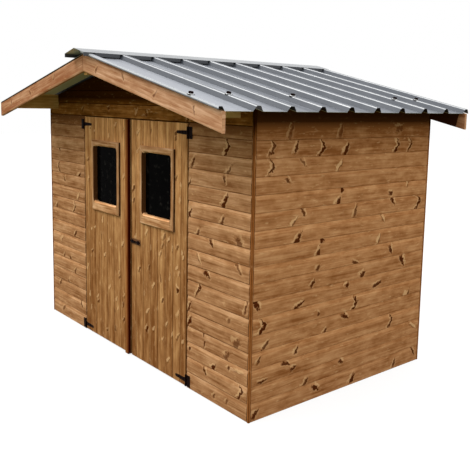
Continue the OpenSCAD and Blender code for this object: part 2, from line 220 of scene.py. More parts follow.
def make_world():
    world = bpy.data.worlds.new("world")
    bpy.context.scene.world = world
    world.use_nodes = True
    n = Nodes(world.node_tree)
    up = n.split(n.place("Generated"))[2]
    sky = n.add("Background", n.mix(n.range(up, *SKY_FADE), SKY_LOW, SKY_TOP), SKY_LEVEL)
    n.show("OutputWorld", n.add("Background", WHITE, 1.0), sky)


def make_key():
    data = bpy.data.lights.new("key", "SUN")
    data.energy, data.angle, data.color = KEY_LEVEL, KEY_SIZE, KEY_COLOUR
    key = new_object("key", data)
    key.rotation_mode = "QUATERNION"
    key.rotation_quaternion = (-KEY_FROM).to_track_quat("-Z", "Y")


def make_floor():
    mesh = bpy.data.meshes.new("floor")
    corners = [(x * FLOOR_HALF, y * FLOOR_HALF, 0) for x, y in ((-1, -1), (1, -1), (1, 1), (-1, 1))]
    mesh.from_pydata(corners, [], [(0, 1, 2, 3)])
    floor = new_object("floor", mesh)
    floor.location.z = FLOOR_Z
    mat = bpy.data.materials.new("floor")
    mat.use_nodes = True
    n = Nodes(mat.node_tree)
    glow, pale = n.add("Emission", WHITE, FLOOR_GLOW), n.add("BsdfDiffuse", FLOOR_PALE)
    n.show("OutputMaterial", n.add("AddShader", glow, pale), n.add("BsdfDiffuse", GRASS))
    mesh.materials.append(mat)


# Materials

def shader(name, rough, specular, metal=0.0, ior=1.5):
    """A plain material, its nodes, and a call that sets its colour, roughness and bump."""
    mat = bpy.data.materials.new(name)
    mat.use_nodes = True
    n = Nodes(mat.node_tree)
    named = {"Roughness": rough, "Specular IOR Level": specular, "Metallic": metal, "IOR": ior}
    bsdf = n.add("BsdfPrincipled", named=named)
    n.end("OutputMaterial", bsdf)

    def paint(tint, rough=None, bump=None):
        for name, value in (("Base Color", tint), ("Roughness", rough), ("Normal", bump)):
            if value is not None:
                n.put(value, bsdf.socket.node.inputs[name])

    return mat, n, paint


# How much the grain moves on for each metre of a plain timber's depth
GRAIN_DEPTH = 1.3


def grain_place(n, axis):
    """(along, across) in metres: from the board's own map, or from the object's place for a plain timber."""
    if axis == "map":
        return n.uv("grain")
    parts = n.split(n.place())
    along, across, depth = {"x": (0, 2, 1), "y": (1, 2, 0), "z": (2, 0, 1)}[axis]
    return parts[along], parts[across] + parts[depth] * GRAIN_DEPTH


# A knot's noises: scale, amount and so on
KNOT_SWAY, KNOT_SLIP, KNOT_RAGGED = (42.0, 3.0, 1.0), (36.0, 1.4, 1.0), (90.0, 1.7, 3.0, 0.6)
# A bent knot's peak, its bend there and how fast that falls; its width in the middle, taper and least width
BEND_AT, BEND_TOP, BEND_FALL = 0.18, 1.5, 3.4
KNOT_MIDDLE, KNOT_TAPER, KNOT_THIN = 0.95, 0.28, 0.35
# Where a knot's core, ends, pale rim and dark back line fade, in half lengths and half widths
CORE_FADE, END_FADE, RIM_FADE = (1.3, 0.92), (1.35, 0.75), (0.85, 0.4)
BACK_FADE, NEAR_FADE = (0.6, 0.2), (2.4, 0.7)
RIM_AT, RIM_RAGGED, BACK_AT = 2.05, 0.6, 1.5
FAINT_BACK, RIM_LIGHT, BACK_LIGHT = 0.7, 0.8, 0.3


def knot_masks(n, along, across):
    """(dark, pale, nearness) of the knot whose own axes the board's face carries."""
    def wobble(a, b, scale, amount, *more):
        return (n.streaks(a, b, scale, scale, *more) - 0.5) * amount

    own_length, own_width = n.uv("knot")
    power = n.attribute("power")
    strong, faint = n.math("MAXIMUM", power, 0.0), n.math("MAXIMUM", power * -1.0, 0.0)
    length = own_length + wobble(across, along, *KNOT_SLIP)
    arc = n.attribute("bend") * (BEND_TOP - abs(length - BEND_AT) * BEND_FALL)
    wide = n.math("MAXIMUM", KNOT_MIDDLE - length * KNOT_TAPER, KNOT_THIN)
    side = n.math("DIVIDE", own_width + wobble(along, across, *KNOT_SWAY) + arc, wide)
    ragged = wobble(along, across, *KNOT_RAGGED)
    far = n.math("SQRT", length * length + side * side)
    core = n.range(far + ragged, *CORE_FADE)
    ends = n.range(abs(length) + ragged, *END_FADE)
    rim = n.range(abs(side - (ragged * RIM_RAGGED + RIM_AT)), *RIM_FADE) * ends
    back = n.range(abs(side + (ragged + BACK_AT)), *BACK_FADE) * ends
    dark = core * strong + back * (faint * FAINT_BACK)
    pale = core * faint + (rim * RIM_LIGHT + back * BACK_LIGHT) * strong
    return dark, pale, n.range(far, *NEAR_FADE)


# Wood noises: scale along and across the grain, detail, roughness
FIBRE, PATCH, LINE = (5.0, 230.0, 3.0, 0.6), (2.6, 24.0, 3.0, 0.55), (3.0, 80.0)
CLOUD, SWEEP = (9.0, 16.0, 3.0, 0.6), (1.1, 9.0)
FLECK, CRACK = (14.0, 46.0, 3.0, 0.6), (4.0, 120.0, 2.0)
# What each adds to the level between dark and pale
WAVE_SHARE, PATCH_SHARE, LINE_SHARE, FIBRE_SHARE, CLOUD_SHARE = 0.05, 1.7, 1.2, 0.45, 0.8
RINGS_PER_M, RINGS_SWEEP = 55.0, 9.0
TONE_SHARE, TONE_GAIN = 0.2, 0.2
KNOT_PULL, KNOT_GLOW, KNOT_LIMIT = 0.014, 0.7, 0.95
FLECK_FADE, FLECK_SHARE, CRACK_FADE, CRACK_SHARE = (0.6, 0.72), 0.4, (0.34, 0.24), 0.45
# The lowest tones fade to a near-black brown: painted shade under the eaves, over the gable, in the casings'
# reveals, on the bargeboards and in the gaps behind the leaves, and the dark grooves between boards
SHADE_AND_GROOVE_FADE = (-2.4, -5.0, 0.0, 0.9)
KNOT_DARK, KNOT_PALE, SHADE_AND_GROOVE = palette("#421600 #DCB484 #260C02")
# Painted shade on the meeting strip: a painted shadow along its right edge, by place, and its side faces
# darkened as painted shade, by facing
SHADED, SIDE_SHADE = palette("#622C12 #360602")
SHADED_FADE, SIDE_SHADE_FADE = (-0.032, -0.018, 0.0, 0.85), (0.5, 0.7, 0.0, 0.95)
WOOD_ROUGH, WOOD_SHEEN = 0.72, (0.3, 0.7, 0.78, 0.64)
FIBRE_RELIEF, LINE_RELIEF, WOOD_BUMP = 0.7, 0.5, (0.35, 0.0006)


def wood(name, codes, axis="map", streak=1.0, blot=1.0, dark_side=False):
    """Oiled softwood: long streaks, fine fibre, wavy year rings, a tone for each board, and knots."""
    mat, n, paint = shader(name, WOOD_ROUGH, specular=0.0)
    light, mid, dark = palette(codes)
    along, across = grain_place(n, axis)
    knotty = axis == "map"
    if knotty:
        knot, rim, near = knot_masks(n, along, across)
        across = across + near * KNOT_PULL

    def grain(noise):
        return n.streaks(along, across, *noise)

    fibre, line = grain(FIBRE), grain(LINE)
    rings = across * RINGS_PER_M + grain(SWEEP) * RINGS_SWEEP
    level = n.math("SINE", rings * (2 * math.pi)) * (WAVE_SHARE * streak)
    for part, share in ((grain(PATCH), PATCH_SHARE * streak), (line, LINE_SHARE * streak),
                        (fibre, FIBRE_SHARE * streak), (grain(CLOUD), CLOUD_SHARE * blot)):
        level = level + (part - 0.5) * share
    level = level + 0.5
    if knotty:
        tone = n.attribute("tone") + n.attribute("shade")
        level = level + n.math("MINIMUM", tone, 0.0) * TONE_SHARE
    tint = n.mix(n.range(level, 0.5, 1.0), n.mix(n.range(level, 0.0, 0.5), dark, mid), light)
    if knotty:
        # Tones above nought brighten the wood: each board's own tone, and painted light, that is the
        # highlights on bevels and eased edges and the leaves' paler upper part
        gain = n.math("MAXIMUM", tone, 0.0) * TONE_GAIN + 1.0
        tint = n.mix(1.0, tint, n.add("CombineXYZ", gain, gain, gain), "MULTIPLY")
        tint = n.mix(n.range(grain(FLECK), *FLECK_FADE) * FLECK_SHARE, tint, KNOT_PALE)
        tint = n.mix(n.range(grain(CRACK), *CRACK_FADE) * CRACK_SHARE, tint, KNOT_DARK)
        # Painted shade, and dark grooves, where the tone is lowest
        tint = n.mix(n.range(tone, *SHADE_AND_GROOVE_FADE), tint, SHADE_AND_GROOVE)
        tint = n.mix(rim * KNOT_GLOW, tint, KNOT_PALE)
        tint = n.mix(n.math("MINIMUM", knot, KNOT_LIMIT), tint, KNOT_DARK)
    # Painted shade on the meeting strip's right edge and side faces
    if dark_side:
        tint = n.mix(n.range(n.split(n.place())[0], *SHADED_FADE), tint, SHADED)
        tint = n.mix(n.range(abs(n.facing()[0]), *SIDE_SHADE_FADE), tint, SIDE_SHADE)
    relief = fibre * FIBRE_RELIEF + line * LINE_RELIEF
    paint(tint, n.range(fibre, *WOOD_SHEEN), n.bump(relief, *WOOD_BUMP))
    return mat


# The roof sheets
# Painted light on the sheets: the flanks' darker greys are painted shade, by facing; the fold along each
# crest is a painted highlight; the edge rib's lip is a painted highlight high up and painted shade low down;
# underneath, the olive is a painted reflection of grass, and the rib hollows' near-black is painted shade
PAN_LOW, PAN, FLANK_SHADE_LOW, FLANK_SHADE = palette("#5C6068 #92969E #42464D #50545B")
CREST, FOLD_HIGHLIGHT, EDGE_SHADE, EDGE_HIGHLIGHT = palette("#5A5E65 #B6B9BD #6E7074 #D2D6DE")
UNDER, MOUTH_SHADE = palette("#BAB894 #1E1E1C")
# From which y to which y the pans grow darker away from the front end, and by what share at each end
PAN_FRONT_FADE = (-1.15, -0.45, 0.9, -0.25)
RUNS, ROOF_CLOUD, FINE = (1.6, 26.0, 3.0, 0.6), (5.0, 5.0, 4.0, 0.6), (2.0, 90.0, 2.0)
FINE_SHARE, CREST_SHARE = 1.6, 0.7
# What tells a sheet's parts: lean along the shed, facing, rise over the pan, distance from a rib's middle
FLANK_LEAN, EDGE_LEAN, UNDER_FACING = (0.3, 0.7), (0.95, 0.97), (0.0, -0.3)
CREST_RISE, EDGE_RISE, MOUTH_RISE = (0.0275, 0.0300), (0.014, 0.018), (0.001, 0.003)
FOLD_OFF = (0.011, 0.014)
ROOF_SHEEN, ROOF_BUMP = (0.3, 0.7, 0.34, 0.5), (0.12, 0.002)


def roof_metal(name):
    """Zinc-coated sheet: a painted highlight along each rib's fold, mid pans, flanks darkened as painted
    shade, and underneath an olive painted reflection with painted shade in the rib hollows.
    """
    mat, n, paint = shader(name, rough=0.5, specular=0.15, metal=0.2)
    x, y, z = n.split(n.place())
    facing = n.facing()
    lean, run = abs(facing[1]), abs(x)
    rise = z + run * SLOPE - RIDGE_Z
    crest = n.range(rise, *CREST_RISE)
    left_shift = n.math("LESS_THAN", x, 0.0) * (RIB_STEP / 2)
    phase = y - (RIB_FIRST - RIB_STEP / 2) - left_shift
    off = abs(n.math("FLOORED_MODULO", phase, RIB_STEP) - RIB_STEP / 2)
    cloud = n.streaks(run, y, *ROOF_CLOUD)
    clean = n.streaks(run, y, *RUNS) + (n.streaks(run, y, *FINE) - 0.5) * FINE_SHARE
    pan = n.mix(clean + n.range(y, *PAN_FRONT_FADE), PAN_LOW, PAN)
    # Painted shade on the flanks, then painted highlights on the folds and the edge lip
    tint = n.mix(n.range(lean, *FLANK_LEAN), pan, n.mix(cloud, FLANK_SHADE_LOW, FLANK_SHADE))
    tint = n.mix(crest * CREST_SHARE, tint, CREST)
    tint = n.mix(crest * n.range(off, *FOLD_OFF), tint, FOLD_HIGHLIGHT)
    edge = n.mix(n.range(rise, *EDGE_RISE), EDGE_SHADE, EDGE_HIGHLIGHT)
    tint = n.mix(n.range(lean, *EDGE_LEAN), tint, edge)
    # Underneath: olive painted reflection, and painted shade in the rib hollows
    below = n.mix(n.range(rise, *MOUTH_RISE), UNDER, MOUTH_SHADE)
    tint = n.mix(n.range(facing[2], *UNDER_FACING), tint, below)
    paint(tint, n.range(cloud, *ROOF_SHEEN), n.bump(cloud, *ROOF_BUMP))
    return mat


# The steep lips' dark grey is painted shade
CAP_LOW, CAP_HIGH, CAP_LIP_SHADE = palette("#86898D #A6A9AC #4A4C50")
CAP_CLOUD, CAP_BUMP = (9.0, 3.0, 3.0, 0.6), (0.15, 0.003)
CAP_STEEP, CAP_UNDER = (0.75, 0.5), (-0.2, -0.5)


def cap_metal(name):
    """The ridge cap: pale slopes, steep lips darkened as painted shade, and underneath the sheets' olive
    painted reflection.
    """
    mat, n, paint = shader(name, rough=0.45, specular=0.3, metal=0.4)
    x, y, _ = n.split(n.place())
    cloud, up = n.streaks(x, y, *CAP_CLOUD), n.facing()[2]
    tint = n.mix(n.range(up, *CAP_STEEP), n.mix(cloud, CAP_LOW, CAP_HIGH), CAP_LIP_SHADE)
    paint(n.mix(n.range(up, *CAP_UNDER), tint, UNDER), bump=n.bump(cloud, *CAP_BUMP))
    return mat


IRON_BUMP, PLATE_FROM, PLATE_TO = (0.25, 0.0004), -0.006, -0.0045


def iron(name, codes, rough, specular, grain, plate_tint=None):
    """Black iron; where a plate lies flat on the boards, a browner tint is mixed in."""
    mat, n, paint = shader(name, rough, specular)
    place = n.place()
    grit = n.noise(place, grain, detail=3.0, rough=0.6)
    tint = n.mix(grit, *palette(codes))
    if plate_tint:
        plate = n.range(n.split(place)[1], FRONT[0].y + PLATE_FROM, FRONT[0].y + PLATE_TO)
        tint = n.mix(plate, tint, n.mix(grit, *palette(plate_tint)))
    paint(tint, bump=n.bump(grit, *IRON_BUMP))
    return mat


# Painted reflections on the pane: where its hazy spots fade in and how much they show; then the glass's
# roughness
REFLECTION_SPOT_FADE, REFLECTION_SPOT_SHARE, GLASS_SHEEN = (0.56, 0.72), 0.7, (0.3, 0.7, 0.03, 0.12)


def dark_glass(name):
    """An opaque pane, near black as painted shade for the dark room behind it, with painted reflections in
    streaks and a few hazy spots.
    """
    mat, n, paint = shader(name, rough=0.05, specular=0.5, ior=1.03)
    place = n.place()
    reflection_streaks = n.noise(place, scale=14.0, detail=3.0, rough=0.6)
    reflection_spots = n.noise(place, scale=22.0, detail=4.0, rough=0.65)
    black, grey, reflected_grey = palette("#010101 #060505 #2A2825")
    tint = n.mix(n.range(reflection_spots, *REFLECTION_SPOT_FADE) * REFLECTION_SPOT_SHARE, n.mix(reflection_streaks, black, grey), reflected_grey)
    paint(tint, n.range(reflection_streaks, *GLASS_SHEEN))
    return mat


def steel(name):
    mat, n, paint = shader(name, rough=0.35, specular=0.5, metal=0.5)
    paint(n.mix(n.noise(n.place(), scale=300.0), *palette("#D0D3D6 #F0F1F2")))
    return mat


# Board building

class Pile:
    """Vertices, faces and wood data of many boards that make one piece."""

    NO_KNOT = (9.0, 9.0)

    def __init__(self):
        self.verts, self.tones, self.faces = [], [], []

    def point(self, co, tone):
        self.verts.append(co)
        self.tones.append(tone)
        return len(self.verts) - 1

    def face(self, ring, grain, knot=None, power=0.0, bend=0.0, shade=0.0):
        self.faces.append((ring, grain, knot or [self.NO_KNOT] * len(ring), power, bend, shade))

    def mesh(self, name):
        rings, grain, knots, powers, bends, shades = zip(*self.faces)
        mesh = bpy.data.meshes.new(name)
        mesh.from_pydata(self.verts, [], rings)
        for label, maps in (("grain", grain), ("knot", knots)):
            layer = mesh.uv_layers.new(name=label)
            layer.data.foreach_set("uv", [c for uv in maps for pair in uv for c in pair])
        for label, values, domain in (("tone", self.tones, "POINT"), ("power", powers, "FACE"),
                                      ("bend", bends, "FACE"), ("shade", shades, "FACE")):
            mesh.attributes.new(label, "FLOAT", domain).data.foreach_set("value", values)
        mesh.update()
        return mesh


class Place:
    """Where a board lies: origin at its lower left on the face, then along, across and outwards."""

    def __init__(self, origin, along, across):
        self.origin, self.along, self.across = origin, along, across
        self.out = along.cross(across)

    def at(self, a, c, o):
        return self.origin + self.along * a + self.across * c + self.out * o


# A knot's drawn half length and half width, and how far its marks reach in those
HALF_LENGTH, HALF_WIDTH = 0.56, 0.74
REACH_LENGTH, REACH_WIDTH, REACH_BEND, REACH_MORE = 1.2, 2.9, 2.0, 0.002


class Knot:
    """A slash across the grain: place on the board, length, width, lean in degrees, power and bend."""

    def __init__(self, a, c, length, width, lean, power, bend=0.0):
        self.a, self.c, self.half_l, self.half_w = a, c, length * HALF_LENGTH, width * HALF_WIDTH
        self.cos, self.sin = math.cos(math.radians(lean)), math.sin(math.radians(lean))
        self.power, self.bend = power, bend
        spread = REACH_LENGTH * self.half_l * abs(self.cos) + REACH_WIDTH * self.half_w * abs(self.sin)
        self.reach = spread + abs(bend) * REACH_BEND * self.half_w + REACH_MORE

    def axes(self, a, c):
        da, dc = a - self.a, c - self.c
        return (da * self.cos + dc * self.sin) / self.half_l, (dc * self.cos - da * self.sin) / self.half_w


KNOT_LEAST, CUT_LEAST, CUT_SLACK = 0.004, 0.001, 0.0005


def stations(a0, a1, knots, marks):
    """Cuts along a board, at knots and marks, with the knot that each length between two carries."""
    cuts, owners, at = [a0], [], a0
    for i, knot in enumerate(knots):
        start, stop = max(knot.a - knot.reach, at), min(knot.a + knot.reach, a1)
        if i + 1 < len(knots):
            stop = min(stop, max((knot.a + knots[i + 1].a) / 2, start + KNOT_LEAST))
        if stop - start < KNOT_LEAST:
            continue
        if start - at > CUT_LEAST:
            cuts.append(start)
            owners.append(None)
        cuts.append(stop)
        owners.append(knot)
        at = stop
    if a1 - at > CUT_LEAST:
        cuts.append(a1)
        owners.append(None)
    else:
        cuts[-1] = a1
    for mark in marks:
        for i in range(len(owners)):
            if cuts[i] + CUT_LEAST < mark < cuts[i + 1] - CUT_LEAST:
                cuts.insert(i + 1, mark)
                owners.insert(i, owners[i])
                break
    return cuts, owners


# The grain of each board starts at a place of its own, within this many metres
GRAIN_SPAN = 40


def grain_shift():
    return RNG.uniform(0, GRAIN_SPAN), RNG.uniform(0, GRAIN_SPAN)


def add_board(pile, place, a0, a1, profile, thick, tone, knots=(), skew=0.0, look=None, back=None):
    """A board along a0 to a1; a profile's row is place across, height, tone and the next face's shade.

    skew slants both ends, look tones the board along its length, and back is a place along it with the
    shade of the hidden faces after that and before it."""
    shift = grain_shift()
    ring = [row[:2] for row in profile] + [(profile[-1][0], -thick), (profile[0][0], -thick)]
    tones = [tone + row[2] for row in profile] + [tone, tone]
    face_count, count = len(profile) - 1, len(ring)
    marks = [row[0] for row in look.by_height] if look else [back[0]] if back else []
    cuts, owners = stations(a0, a1, sorted(knots, key=lambda k: k.a), marks)
    rows, index = [], []
    for i, cut in enumerate(cuts):
        slant = skew if i in (0, len(cuts) - 1) else 0.0
        row = [(cut + slant * c, c, o) for c, o in ring]
        extra = look.tone(row[0][0]) if look else 0.0
        rows.append(row)
        index.append([pile.point(place.at(*p), t + extra) for p, t in zip(row, tones)])
    grain = [[(p[0] + shift[0], p[1] - p[2] + shift[1]) for p in row] for row in rows]
    for s, knot in enumerate(owners):
        for i in range(count):
            j = (i + 1) % count
            spots = ((s, i), (s + 1, i), (s + 1, j), (s, j))
            corner = [index[r][k] for r, k in spots]
            uv = [grain[r][k] for r, k in spots]
            shade = profile[i][3] if i < face_count else 0.0
            if back and i >= face_count:
                shade = back[1] if cuts[s] >= back[0] - CUT_SLACK else back[2]
            if knot and i < face_count:
                axes = [knot.axes(rows[r][k][0], rows[r][k][1]) for r, k in spots]
                pile.face(corner, uv, axes, knot.power, knot.bend, shade)
            else:
                pile.face(corner, uv, shade=shade)
    for row, order in ((0, range(count)), (-1, range(count - 1, -1, -1))):
        ends = [(rows[row][i][2] + shift[1], rows[row][i][1] + shift[0]) for i in order]
        pile.face([index[row][i] for i in order], ends)


def add_piece(mesh, name, body, material, nodes=()):
    obj = new_object(name, mesh)
    mesh.materials.append(MATS[material])
    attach(obj, body)
    if nodes:
        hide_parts(*nodes)


ROOF_CLEAR = 0.0015


def trim_under_roof(mesh):
    """Cuts boards off along both slopes, just under the roof sheets."""
    work = bmesh.new()
    work.from_mesh(mesh)
    for side in (1, -1):
        normal = Vector((side * SIN, 0, COS))
        everything = work.verts[:] + work.edges[:] + work.faces[:]
        under = (0, 0, RIDGE_Z - ROOF_CLEAR)
        bmesh.ops.bisect_plane(work, geom=everything, plane_co=under, plane_no=normal, clear_outer=True)
        open_edges = [e for e in work.edges if e.is_boundary]
        bmesh.ops.holes_fill(work, edges=open_edges, sides=0)
    work.to_mesh(mesh)
    work.free()


# Walls

BOARD_W, FIRST_JOINT, GABLE_BOARD_W, NARROWEST = 0.1065, 0.117, 0.1, 0.012
BEVEL_W, BEVEL_SHARE, BEVEL_DROP, FADE_W, FADE_LEAST = 0.029, 0.3, 0.0058, 0.022, 0.012
ARRIS_W, ARRIS_DROP, GROOVE_W, GROOVE_DROP = 0.0045, 0.0055, 0.003, 0.0085
# The corner bars, the gap beside them, and where the boards end
STRIP_W, STRIP_GAP, STRIP_ARRIS, STRIP_SHADE = 0.015, 0.004, 0.003, -3.0
WALL_IN = STRIP_W + STRIP_GAP
# How much wider than in the solids the gaps beside and between the leaves are
LEAF_GAP, MEET_GAP = 0.004, 0.008


def wall_profile(width, painted_light_band, groove, deep):
    """Face of a wall board: lower arris, a flat face that the painted light band darkens low down as painted
    shade, and a bevel paler by that band as a painted highlight, under a dark groove.
    """
    bevel = min(BEVEL_W, width * BEVEL_SHARE)
    fade = max(width - bevel - FADE_W, FADE_LEAST)
    return [(0.0, -ARRIS_DROP * deep, 0.0, groove), (ARRIS_W * deep, 0.0, -0.5 * painted_light_band, 0.0),
            (fade, 0.0, -0.3 * painted_light_band, 0.0), (width - bevel, 0.0, 0.5 * painted_light_band, 0.0),
            (width - GROOVE_W * deep, -BEVEL_DROP * deep, painted_light_band, groove),
            (width, -GROOVE_DROP * deep, 0.0, 0.0)]


def joints(low, high, first, step):
    rows, z = [low], first
    while z < high - NARROWEST:
        rows.append(z)
        z += step
    return rows + [high]


class Look(NamedTuple):
    """How a wall's boards are toned: a painted light band (painted shade low on each board's face, a painted
    highlight on its bevel), groove darkness and depth, spread, and a tone by height that paints light and
    shade.
    """

    painted_light_band: float
    groove: tuple
    deep: float
    spread: float
    by_height: tuple

    def tone(self, z):
        rows = self.by_height
        for (z0, t0), (z1, t1) in zip(rows, rows[1:]):
            if z <= z1:
                return t0 + (t1 - t0) * max(z - z0, 0.0) / (z1 - z0)
        return rows[-1][1]

    def own_tone(self):
        return RNG.uniform(-self.spread, self.spread)


# The tones by height are painted light and shade: they darken the tops of the front, side and back walls as
# the eaves' shadow, and the gable above its first board as the roof's shade; on the leaves they paint light
# towards the top, against the roof's shadow, and darken towards the bottom
FRONT_LOOK = Look(0.85, (-3.2, -0.6), 0.8, 0.45,
                  ((0.0, -0.4), (1.0, -0.1), (1.60, 0.0), (1.72, -1.0), (1.84, -6.0)))
SIDE_LOOK = Look(0.5, (-2.6, 0.6), 0.45, 0.4,
                 ((0.0, 0.1), (1.50, 0.1), (1.66, -0.6), (1.77, -2.1), (1.83, -5.1)))
BACK_LOOK = Look(0.5, (-2.6, 0.6), 0.45, 0.4, ((0.0, 0.1), (1.70, 0.0), (1.85, -0.8), (2.3, -1.8)))
GABLE_LOOK = Look(0.5, (-4.0, -2.0), 0.8, 0.4, ((1.80, 0.1), (1.89, -0.3), (1.92, -4.6), (2.3, -5.0)))
DOOR_LOOK = Look(0.0, (-2.2, -1.2), 1.0, 0.6, ((0.0, -1.2), (0.9, -0.35), (1.5, 1.3), (1.79, 2.6)))


def clad(name, material, origin, along, length, heights, knots, look, trim=False):
    """A wall of level boards between the given heights; knots are rows of Knot's values."""
    pile = Pile()
    for low, high in zip(heights, heights[1:]):
        own = [Knot(row[0], row[1] - low, *row[2:]) for row in knots if low <= row[1] < high]
        tone = look.own_tone()
        painted_light_band = look.painted_light_band * RNG.uniform(0.7, 1.25)
        profile = wall_profile(high - low, painted_light_band, RNG.uniform(*look.groove), look.deep)
        profile = [(c, o, t + look.tone(low + c), shade) for c, o, t, shade in profile]
        add_board(pile, Place(origin + Z * low, along, Z), 0.0, length, profile, BOARD_T, tone, own)
    mesh = pile.mesh(name)
    if trim:
        trim_under_roof(mesh)
    add_piece(mesh, name + "_boards", "root", material, (name,))


KNOT_MARGIN, KNOT_LOW, KNOT_HIGH = 0.04, 0.03, 0.05


def some_knots(length, top, count):
    """Knots for a side that the photograph doesn't show."""
    made = []
    for _ in range(count):
        power = RNG.choice((1.0, 0.85, 0.6, -0.7))
        lean = RNG.choice((-1, 1)) * RNG.uniform(50, 78)
        a, c = RNG.uniform(KNOT_MARGIN, length - KNOT_MARGIN), RNG.uniform(KNOT_LOW, top - KNOT_HIGH)
        long, wide = RNG.uniform(0.03, 0.065), RNG.uniform(0.011, 0.018)
        made.append((a, c, long, wide, lean, power, RNG.choice((0, 0, 0, 1, -1))))
    return made


def knot_rows(text):
    """Rows of place, height, length, width, lean, power and, for a bent knot, bend."""
    return [tuple(float(v) for v in row.split()) for row in text.split(",")]


# Knots that show in the photograph, with the place along the wall
FRONT_RIGHT_KNOTS = knot_rows("""
    .405 1.66 .095 .015 90 1 1, .055 1.55 .07 .015 62 .8, .425 1.52 .065 .014 55 .7,
    .38 1.462 .045 .013 -70 .8, .015 1.4 .06 .012 68 .8, .395 1.33 .085 .018 60 1,
    .37 1.205 .06 .014 62 .8, .02 1.205 .055 .018 58 1, .115 1.09 .055 .016 64 .8,
    .258 1.045 .05 .015 -50 .9, .54 1.092 .06 .024 -35 .6, .535 .93 .075 .013 -48 .6,
    .13 .925 .07 .011 -60 -.8, .215 .832 .055 .017 -28 1, .13 .722 .085 .015 90 .9 1,
    .61 .712 .075 .011 75 .7, .025 .58 .06 .013 65 1, .03 .478 .06 .016 62 1, .45 .592 .03 .013 70 .5,
    .53 .465 .06 .026 40 .6, .188 .425 .032 .012 -60 .7, .192 .362 .045 .014 60 .9,
    .435 .36 .055 .022 50 .6, .035 .288 .022 .012 60 .9, .455 .288 .022 .013 60 .8,
    .3 .238 .05 .018 45 1, .205 .182 .055 .013 -60 .8, .575 .168 .085 .014 90 .9 1,
    .31 .055 .035 .012 60 .7, .44 .062 .03 .012 60 .6, .555 .3 .08 .012 2 -.6""")
FRONT_LEFT_KNOTS = knot_rows("""
    .155 1.495 .05 .012 -40 .8, .142 1.336 .085 .014 90 .7 -1, .54 1.29 .055 .02 50 1,
    .255 1.24 .045 .013 -55 .7, .515 1.128 .07 .014 55 -.8, .095 .988 .05 .016 60 .7,
    .443 1.015 .09 .014 90 .9 1, .455 .788 .055 .015 55 .9, .18 .712 .06 .02 40 -.7,
    .23 .562 .05 .014 65 .6, .355 .552 .045 .014 -60 .6, .445 .462 .05 .015 60 .7,
    .145 .3 .05 .015 60 .7, .31 .338 .04 .014 -55 .6, .555 .188 .05 .013 -58 .8, .205 .075 .06 .016 50 .6""")
SIDE_KNOTS = knot_rows("""
    .127 1.672 .085 .014 90 .8 1, .124 1.553 .085 .014 90 .9 1, .322 1.672 .07 .014 70 .9,
    .548 1.662 .095 .016 90 1 1, .772 1.645 .075 .016 60 1, 1.3 1.66 .09 .015 90 1 1,
    1.45 1.662 .085 .014 90 .9 1, .272 1.765 .085 .016 75 .5, .715 1.765 .085 .016 76 .5,
    1.315 1.77 .06 .022 20 .5, .38 1.575 .05 .013 -50 .6, .255 1.47 .04 .013 -45 .8,
    .705 1.545 .075 .014 52 -.9, .74 1.382 .034 .028 10 1, .722 1.308 .075 .02 55 1,
    1.255 1.32 .035 .018 30 .9, 1.28 1.265 .055 .015 -55 1, 1.435 1.388 .045 .013 60 -.8,
    1.58 1.235 .09 .016 90 1 1, .395 1.262 .055 .013 -60 .8, .31 1.215 .075 .012 40 -.9,
    .358 1.1 .075 .019 55 1, .56 1.062 .065 .024 -5 1, .552 1 .07 .017 66 .9, .885 1.225 .085 .014 75 .7,
    1.185 1.15 .06 .012 -65 -.8, 1.135 1.012 .065 .013 62 -.9, .545 .888 .04 .014 55 .8,
    .5 .79 .045 .014 55 .9, 1.28 .915 .055 .015 -60 .9, 1.42 .815 .07 .02 -65 1, .985 .775 .05 .02 40 .9,
    .905 .868 .06 .012 -18 .8, .835 .728 .035 .018 60 1, .025 .735 .065 .02 -60 1,
    .083 .59 .085 .018 90 1 1, .385 .668 .075 .014 22 1, 1.145 .68 .08 .014 22 .9,
    .922 .582 .09 .015 90 1 1, 1.48 .555 .055 .028 20 -.8, 1.515 .555 .04 .014 60 .8,
    .565 .575 .024 .016 0 .8, .82 .51 .06 .018 -30 1, .63 .448 .045 .012 50 .8,
    1.321 .38 .085 .014 90 .9 1, .11 .47 .065 .013 40 .8, .055 .382 .045 .012 60 .8,
    .372 .378 .05 .013 60 .9, .285 .305 .065 .015 -12 .9, .35 .262 .045 .013 20 .9,
    .797 .195 .035 .018 -30 .9, .085 .24 .06 .011 8 .9, .46 .132 .06 .017 55 .8, .555 .072 .06 .02 -30 1,
    .922 .045 .065 .018 62 1, 1.61 .08 .06 .012 -60 .9, 1.595 .29 .075 .011 -35 -.9,
    1.385 .04 .06 .013 70 .8, .035 .045 .06 .018 45 .9""")
GABLE_KNOTS = knot_rows("""
    1.05 1.862 .03 .015 40 .7, 1.46 1.85 .05 .014 60 -.5, 1.6 1.835 .026 .014 -30 .6,
    2.12 1.84 .07 .014 75 .8, 2.42 1.85 .04 .013 58 .6, .62 1.85 .04 .014 60 .5""")
